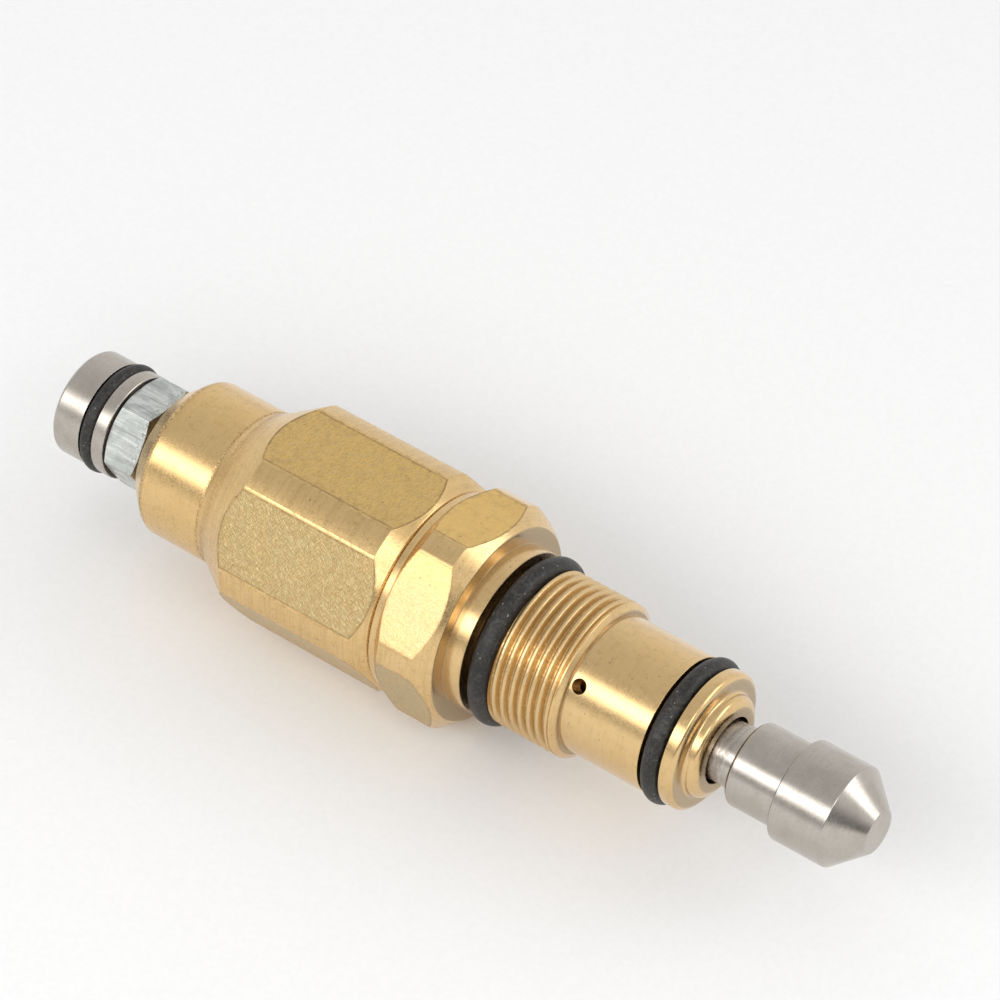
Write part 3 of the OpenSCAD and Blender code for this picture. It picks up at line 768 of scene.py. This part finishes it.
def make_housing():
    """Spring housing: turned rear cylinder, flare and milled hexagon, hollow inside."""
    outline = [
        (HOUSING_REAR, REAR_HOLE_R, 0.1),
        (HOUSING_REAR, REAR_RIM_R, 0.25),
        (HOUSING_REAR + REAR_CHAMFER, HOUSING_R, 0.35),
        (FLARE_START - 0.12, HOUSING_R, 0.04),
        (FLARE_START, HOUSING_R - 0.07, 0.05),
        *FLARE_CONE,
        *HOUSING_CONE[:1],
        (*HOUSING_CONE[1], 0.06),
        (JOINT, JOINT_RIM_R - 0.1, 0.04),
        (JOINT, JOINT_BORE_R),
        (SPIGOT_REAR - 0.2, JOINT_BORE_R),
        (SPIGOT_REAR - 0.2, CHAMBER_R),
        (HOUSING_REAR + REAR_WALL, CHAMBER_R),
        (HOUSING_REAR + REAR_WALL, REAR_HOLE_R),
    ]
    bm = spun(outline)
    mill_flats(bm, FLAT_R, HOUSING_CORNER_R, HOUSING_ROLL)
    paint(bm, BANDS, FLARE_START, JOINT)
    finishes = [LOOKS["housing"], LOOKS["bar"], LOOKS["edge"], LOOKS["bands"]]
    as_piece("housing_shell", bm, finishes, "body", "spring_housing")


def make_body():
    """Valve body: hexagon, shoulder, thread core, nose and boss, hollow inside."""
    joint_r = JOINT_BORE_R - JOINT_GAP
    outline = [
        (SPIGOT_REAR, CHAMBER_R),
        (SPIGOT_REAR, joint_r - 0.5),
        (SPIGOT_REAR + 0.5, joint_r),
        (JOINT + 0.02, joint_r),
        (JOINT + 0.02, JOINT_RIM_R - 0.1, 0.04),
        (JOINT + 0.12, JOINT_RIM_R + 0.1, 0.06),
        *BODY_REAR_CONE,
        *BODY_FRONT_CONE[:1],
        (*BODY_FRONT_CONE[1], 0.1),
        (SHOULDER, COLLAR_R, 0.06),
        (COLLAR_FRONT, COLLAR_R, 0.1),
        (COLLAR_FRONT, NECK_R, 0.15),
        (0.0, NECK_R),
        (0.0, THREAD_R - THREAD_DEPTH - 0.1),
        (THREAD_END - 0.5, THREAD_R - THREAD_DEPTH - 0.1),
        (THREAD_END + 0.1, THREAD_R - 0.02, 0.1),
        (NOSE_START - 0.45, THREAD_R - 0.02, 0.08),
        (NOSE_START - 0.02, NOSE_R + 0.35, 0.1),
        (NOSE_START, NOSE_R, 0.06),
        (NOSE_GROOVE[0], NOSE_R, 0.08),
        (NOSE_GROOVE[0], NOSE_GROOVE_R, 0.15),
        (NOSE_GROOVE[1], NOSE_GROOVE_R, 0.15),
        (NOSE_GROOVE[1], NOSE_R, 0.12),
        (NOSE_END - 0.35, NOSE_R, 0.3),
        (NOSE_END, NOSE_R - 0.5, 0.3),
        (NOSE_END, BOSS_R, 0.5),
        (BOSS_FRONT - 0.5, BOSS_R, 0.4),
        (BOSS_FRONT, BOSS_R - 0.9, 0.4),
        (BOSS_FRONT, BOSS_BORE_R + 0.04, 0.03),
        (BOSS_FRONT - 0.1, BOSS_BORE_R, 0.03),
        (CAVITY_END, BOSS_BORE_R),
        (CAVITY_END, CAVITY_R),
        (CAVITY_REAR, CAVITY_R),
        (CAVITY_REAR, CHAMBER_R),
    ]
    bm = spun(outline, steps=192)
    mill_flats(bm, FLAT_R, BODY_CORNER_R, BODY_ROLL)
    paint(bm, BANDS, JOINT, SHOULDER - 0.05)
    finishes = [LOOKS["body"], LOOKS["milled"], LOOKS["edge"], LOOKS["body bands"]]
    body = as_piece("body_shell", bm, finishes, "body", "valve_body")
    drill_bleed_hole(body)
    thread = screw_thread(0.05, THREAD_END, THREAD_R, THREAD_DEPTH, THREAD_PITCH)
    as_piece("port_thread", thread, [LOOKS["thread"]], "body", "valve_body",
             THREAD_CREASE)


def drill_bleed_hole(body):
    """Cuts the bleed hole through the nose wall, in line with a flat of the body."""
    bm = bmesh.new()
    bmesh.ops.create_cone(bm, cap_ends=True, segments=48, radius1=BLEED_R * MM,
                          radius2=BLEED_R * MM, depth=6 * MM)
    for face in bm.faces:
        face.material_index = EDGE
    a = math.radians(BODY_ROLL)
    outward = Vector((0, -math.sin(a), math.cos(a)))
    spot = Vector((BLEED_X * MM, 0, 0)) + outward * (NOSE_R + 0.5) * MM
    turn = Vector((0, 0, 1)).rotation_difference(outward).to_matrix().to_4x4()
    bmesh.ops.transform(bm, matrix=Matrix.Translation(spot) @ turn, verts=bm.verts)
    drill = new_object("bleed drill", to_mesh(bm, bpy.data.meshes.new("bleed drill")))
    cut = body.modifiers.new("bleed hole", "BOOLEAN")
    cut.operation = "DIFFERENCE"
    cut.solver = "EXACT"
    cut.object = drill
    body.modifiers.remove(body.modifiers[0])
    bpy.context.view_layer.update()
    graph = bpy.context.evaluated_depsgraph_get()
    drilled = bpy.data.meshes.new_from_object(body.evaluated_get(graph))
    body.modifiers.clear()
    body.data = drilled
    bpy.data.objects.remove(drill)
    crease(drilled, CREASE)
    weigh_normals(body)


def make_o_ring(node, body):
    """One O-ring in the place of its CAD node."""
    low, high = span(node)
    section_r = (high - low) / 2
    bm = torus((low + high) / 2, section_r, reach(node) - section_r)
    as_piece(node + "_ring", bm, [LOOKS["rubber"]], body, node)


def make_piston():
    """Rear piston with its seal groove."""
    outline = [
        (PISTON_REAR, NUT_BORE_R, 0.2),
        (PISTON_REAR, PISTON_R - 0.3, 0.15),
        (PISTON_REAR + 0.3, PISTON_R, 0.15),
        (PISTON_GROOVE[0], PISTON_R, 0.06),
        (PISTON_GROOVE[0], PISTON_GROOVE_R, 0.1),
        (PISTON_GROOVE[1], PISTON_GROOVE_R, 0.1),
        (PISTON_GROOVE[1], PISTON_R, 0.06),
        (PISTON_FRONT - 0.12, PISTON_R, 0.06),
        (PISTON_FRONT, PISTON_R - 0.12, 0.06),
        (PISTON_FRONT, NUT_BORE_R),
    ]
    bm = spun(outline)
    # painted shade: the front face against the nut gets the near-black shaded steel
    paint(bm, SECOND, PISTON_FRONT - 0.02, PISTON_FRONT + 0.02)
    as_piece("piston_turned", bm, [LOOKS["piston"], LOOKS["grime_and_shade"]], "adjuster", "piston")


def make_nut():
    """Adjusting nut: a chamfered hexagon."""
    hexagon_r = NUT_FLAT_R / math.cos(math.radians(30))
    corner_r = hexagon_r + 0.2
    face_r = NUT_FLAT_R - 0.2
    bevel = (corner_r - face_r) * math.tan(math.radians(30))
    outline = [
        (NUT_REAR, NUT_BORE_R),
        (NUT_REAR, face_r, 0.08),
        (NUT_REAR + bevel, corner_r),
        (NUT_FRONT - 0.25, corner_r),
        (NUT_FRONT, face_r + 0.35, 0.08),
        (NUT_FRONT, NUT_BORE_R),
    ]
    bm = spun(outline)
    mill_flats(bm, NUT_FLAT_R, hexagon_r, NUT_ROLL, NUT_EASING)
    for face in bm.faces:
        face.material_index = TURNED
    as_piece("adjusting_nut_plated", bm, [LOOKS["zinc"]], "adjuster", "adjusting_nut")


def make_poppet():
    """Bullet-shaped poppet with its conical seat."""
    outline = [
        (POPPET_REAR + STUB_LEN + 0.2, 0.0),
        (POPPET_REAR + STUB_LEN + 0.2, STUB_R + 0.02),
        (POPPET_REAR, STUB_R + 0.02),
        (POPPET_REAR, GUIDE_R - 0.25, 0.1),
        (POPPET_REAR + 0.25, GUIDE_R, 0.2),
        (GUIDE_END, GUIDE_R, 0.05),
        (GUIDE_END, HEAD_R - 0.1, 0.05),
        (GUIDE_END + 0.12, HEAD_R, 0.08),
        (CONE_START, HEAD_R, 0.12),
        (POPPET_TIP - 0.05, TIP_R + 0.03, 0.08),
        (POPPET_TIP, TIP_R - 0.05, 0.05),
        (POPPET_TIP, 0.0),
    ]
    as_piece("poppet_turned", spun(outline, closed=False), [LOOKS["steel"]], "rod", "poppet")


def make_rod():
    """Rod with its rear thread and the waisted neck that shows behind the poppet."""
    outline = [
        (ROD_REAR, 0.0),
        (ROD_REAR, ROD_END_R, 0.1),
        (ROD_REAR + 0.4, ROD_THREAD_R, 0.1),
        (HOUSING_REAR - 0.45, ROD_THREAD_R, 0.1),
        (HOUSING_REAR - 0.25, ROD_R, 0.1),
        (ROD_MIDDLE, ROD_R),
        (BOSS_FRONT - 0.6, ROD_R, 0.2),
        (BOSS_FRONT + 0.5, ROD_R - 0.08, 0.5),
        (BOSS_FRONT + 1.5, ROD_R, 0.4),
        (POPPET_REAR - 0.25, ROD_R, 0.1),
        (POPPET_REAR - 0.15, ROD_R - 0.15, 0.05),
        (POPPET_REAR - 0.02, ROD_R - 0.15, 0.05),
        (POPPET_REAR - 0.02, STUB_R, 0.1),
        (ROD_FRONT - 0.2, STUB_R, 0.1),
        (ROD_FRONT, STUB_R - 0.2, 0.1),
        (ROD_FRONT, 0.0),
    ]
    bm = spun(outline, closed=False)
    paint(bm, SECOND, BOSS_FRONT - 1.0, BOSS_FRONT + 1.5)
    as_piece("rod_turned", bm, [LOOKS["steel"], LOOKS["neck"]], "rod", "rod")


def dress_inner_parts():
    """Gives the CAD nodes that stay their finishes."""
    finishes = {
        "housing_o_ring": "rubber", "front_rod_seal": "rubber", "rear_rod_seal": "rubber",
        "front_backup_ring": "plastic", "rear_backup_ring": "plastic",
        "lantern_ring": "body", "gland_bush": "bronze", "gland_clip": "spring",
        "rear_guide_bush": "bronze", "rear_spring_washer": "washer",
        "preload_shim": "washer", "front_spring_seat": "steel", "seat_clip": "spring",
        "stop_washer": "zinc",
    }
    for node, look in finishes.items():
        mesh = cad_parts[node].data
        mesh.materials.clear()
        mesh.materials.append(LOOKS[look])


def make_spring():
    """The main spring, a copy of its CAD coil riding on the body; nothing here shortens it as the
    rod slides back.
    """
    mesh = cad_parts["main_spring"].data.copy()
    bm = bmesh.new()
    bm.from_mesh(mesh)
    bmesh.ops.remove_doubles(bm, verts=bm.verts, dist=0.001 * MM)
    to_mesh(bm, mesh)
    mesh.materials.clear()
    mesh.materials.append(LOOKS["spring"])
    mesh.shade_smooth()
    spring = new_object("main_spring_coil", mesh)
    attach(spring, "body")
    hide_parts("main_spring")
    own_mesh(spring)


make_housing()
make_body()
for ring, rides_on in (("shoulder_o_ring", "body"), ("nose_o_ring", "body"),
                       ("piston_o_ring", "adjuster")):
    make_o_ring(ring, rides_on)
make_piston()
make_nut()
make_poppet()
make_rod()
make_spring()
dress_inner_parts()

# ---------------------------------------------------------------- floor, light and camera

FLOOR_Z = CAD_BOX[0][2]
VIEW_AZIMUTH = math.radians(37.13)
VIEW_ELEVATION = math.radians(44.82)
VIEW_DISTANCE = 0.4647
VIEW_TARGET = Vector((-0.00857, 0.00557, 0.00966))


def make_floor():
    """A plain pale floor under the valve."""
    bm = bmesh.new()
    bmesh.ops.create_grid(bm, x_segments=1, y_segments=1, size=3.0)
    bmesh.ops.translate(bm, vec=(0, 0, FLOOR_Z), verts=bm.verts)
    floor = new_object("floor", to_mesh(bm, bpy.data.meshes.new("floor")))
    f = Finish("pale paper", 0.0, 0.9, Specular_IOR_Level=0.1)
    grain = f.noise(f.stretched(2, 2, 2), detail=2)
    colour = f.blend(f.fit(grain, 0.3, 0.7), PAPER, PAPER_PALE)
    floor.data.materials.append(f.done(colour, 0.9, f.bump(grain, 0.02, 0.01)))


def sky_ramp(nodes, links, height, stops):
    """Grey levels by height: stops are (sine of the elevation, level)."""
    ramp = nodes.new("ShaderNodeValToRGB")
    ramp.color_ramp.interpolation = "EASE"
    elements = ramp.color_ramp.elements
    while len(elements) < len(stops):
        elements.new(0.5)
    for element, (place, level) in zip(elements, stops):
        element.position = place
        element.color = (level, level, level, 1)
    links.new(height, ramp.inputs[0])
    return ramp.outputs[0]


def sky_mix(nodes, links, side, limits, first, second):
    """Eases from one grey level to another as a direction's part goes between limits."""
    share = nodes.new("ShaderNodeMapRange")
    share.interpolation_type = "SMOOTHSTEP"
    share.inputs["From Min"].default_value, share.inputs["From Max"].default_value = limits
    links.new(side, share.inputs["Value"])
    mix = nodes.new("ShaderNodeMix")
    mix.data_type = "RGBA"
    links.new(share.outputs["Result"], mix.inputs[0])
    links.new(first, mix.inputs[6])
    links.new(second, mix.inputs[7])
    return mix.outputs[2]


def make_world():
    """Soft surrounding light, with a dimmer gap low in front of the valve."""
    world = bpy.data.worlds.new("studio")
    bpy.context.scene.world = world
    world.use_nodes = True
    nodes, links = world.node_tree.nodes, world.node_tree.links
    split = nodes.new("ShaderNodeSeparateXYZ")
    links.new(nodes.new("ShaderNodeTexCoord").outputs["Generated"], split.inputs[0])
    height = split.outputs[2]
    back = sky_ramp(nodes, links, height, (
        (0.0, 0.93), (0.3, 0.885), (0.6, 0.8), (0.78, 0.745), (0.88, 0.67), (1.0, 0.65)))
    left = sky_ramp(nodes, links, height, (
        (0.0, 0.93), (0.06, 0.88), (0.14, 0.55), (0.3, 0.5), (0.52, 0.58), (1.0, 0.65)))
    right = sky_ramp(nodes, links, height, (
        (0.0, 0.8), (0.05, 0.56), (0.12, 0.18), (0.26, 0.2), (0.42, 0.5), (1.0, 0.65)))
    front = sky_mix(nodes, links, split.outputs[0], (0.2, 0.7), left, right)
    result = sky_mix(nodes, links, split.outputs[1], (0.1, -0.25), back, front)
    links.new(result, nodes["Background"].inputs[0])


def soft_box(name, azimuth, elevation, width, height, radiance, distance=0.8):
    """A rectangular lamp facing the valve, from angles in degrees; 0 azimuth is +X."""
    lamp = bpy.data.lights.new(name, "AREA")
    lamp.shape = "RECTANGLE"
    lamp.size = width
    lamp.size_y = height
    lamp.energy = radiance * math.pi * width * height
    holder = new_object(name, lamp)
    around, up = math.radians(azimuth), math.radians(elevation)
    way = Vector((math.cos(around) * math.cos(up), math.sin(around) * math.cos(up), math.sin(up)))
    holder.location = way * distance
    holder.rotation_euler = way.to_track_quat("Z", "Y").to_euler()
    holder.visible_camera = False


def make_camera():
    """The camera looks down on the valve from its poppet side."""
    lens = bpy.data.cameras.new("camera")
    lens.lens = 180
    lens.sensor_width = 36
    lens.clip_start = 0.01
    camera = new_object("camera", lens)
    flat = math.cos(VIEW_ELEVATION)
    look = Vector((-math.sin(VIEW_AZIMUTH) * flat, math.cos(VIEW_AZIMUTH) * flat,
                   -math.sin(VIEW_ELEVATION)))
    camera.location = VIEW_TARGET - look * VIEW_DISTANCE
    camera.rotation_euler = look.to_track_quat("-Z", "Y").to_euler()
    bpy.context.scene.camera = camera


make_floor()
make_world()
soft_box("front soft box", -90, 36, 1.9, 0.43, 1.18)
soft_box("front core", -90, 36.5, 1.7, 0.24, 1.6, distance=0.79)
soft_box("right soft box", -22, 42, 0.26, 0.24, 2.8)
soft_box("back soft box", 35, 30, 0.46, 0.26, 2.25)
make_camera()
bpy.context.scene.view_settings.view_transform = "Standard"
